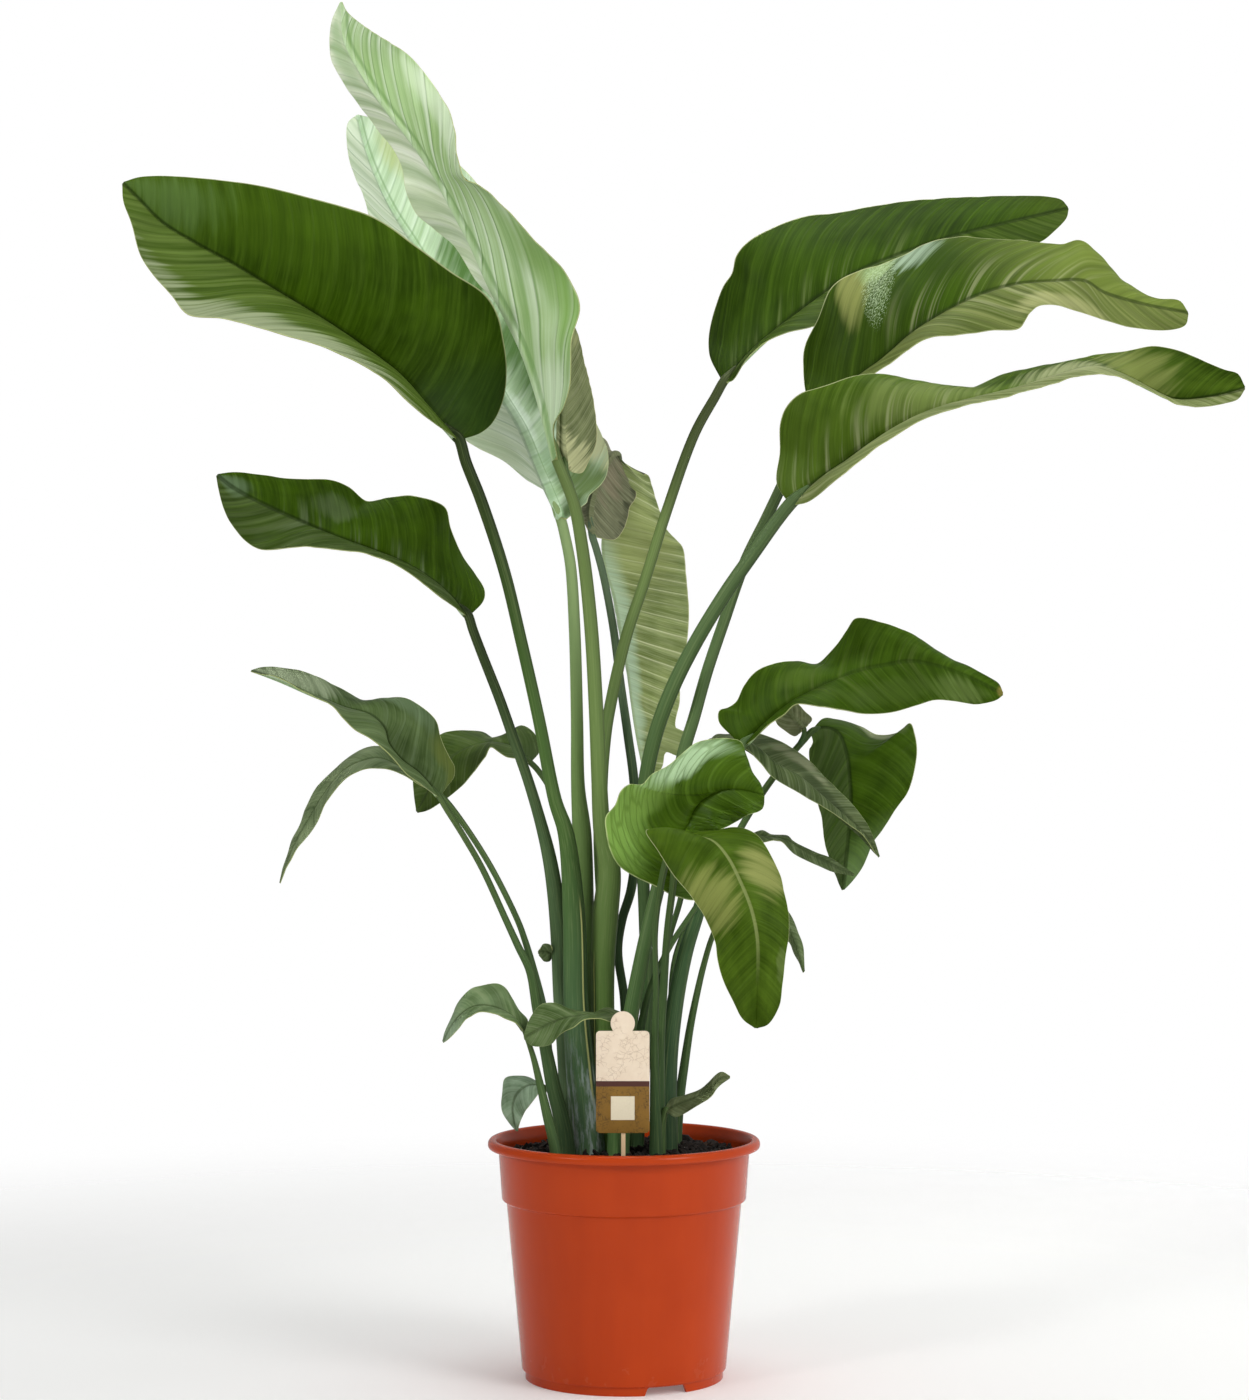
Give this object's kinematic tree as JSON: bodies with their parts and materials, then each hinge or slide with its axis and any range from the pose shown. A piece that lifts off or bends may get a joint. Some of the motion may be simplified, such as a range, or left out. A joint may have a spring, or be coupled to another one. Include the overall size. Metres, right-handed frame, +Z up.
{
  "type": "potted white bird of paradise plant",
  "caption": "Clump of long-stalked paddle-shaped leaves with veined, waved blades growing from soil in a round tapered nursery pot with a plant label.",
  "frame": {"origin": "on the pot's axis at the centre of the pot's underside, on the surface that the pot stands on", "axes": "+Z up along the pot's axis, +Y away from the viewer who faces the plant label, +X to the viewer's right"},
  "size_m": [1.0761, 0.457, 1.3595],
  "materials": {
    "pot_plastic": "satin",
    "soil": "matte",
    "label_card": "matte",
    "label_stick": "matte",
    "stalk": "satin",
    "leaf": "satin",
    "leaf_underside": "matte"
  },
  "bodies": {
    "root": {"pot": "pot_plastic", "soil": "soil", "label_card": "label_card", "label_stick": "label_stick", "shoot_tall": "stalk", "shoot_front": "stalk", "shoot_left": "stalk", "shoot_low": "stalk", "shoot_right": "stalk", "shoot_back": "stalk", "shoot_small": "stalk", "leaf_01": "leaf", "leaf_02": "leaf_underside", "leaf_03": "leaf_underside", "leaf_04": "leaf_underside", "leaf_05": "leaf_underside", "leaf_06": "leaf", "leaf_07": "leaf", "leaf_08": "leaf", "leaf_09": "leaf", "leaf_10": "leaf", "leaf_11": "leaf", "leaf_12": "leaf", "leaf_13": "leaf", "leaf_14": "leaf", "leaf_15": "leaf", "leaf_16": "leaf", "leaf_17": "leaf", "leaf_18": "leaf", "leaf_19": "leaf", "leaf_20": "leaf", "leaf_21": "leaf", "leaf_22": "leaf", "leaf_23": "leaf", "leaf_24": "leaf", "leaf_25": "leaf_underside"}
  },
  "joints": []
}
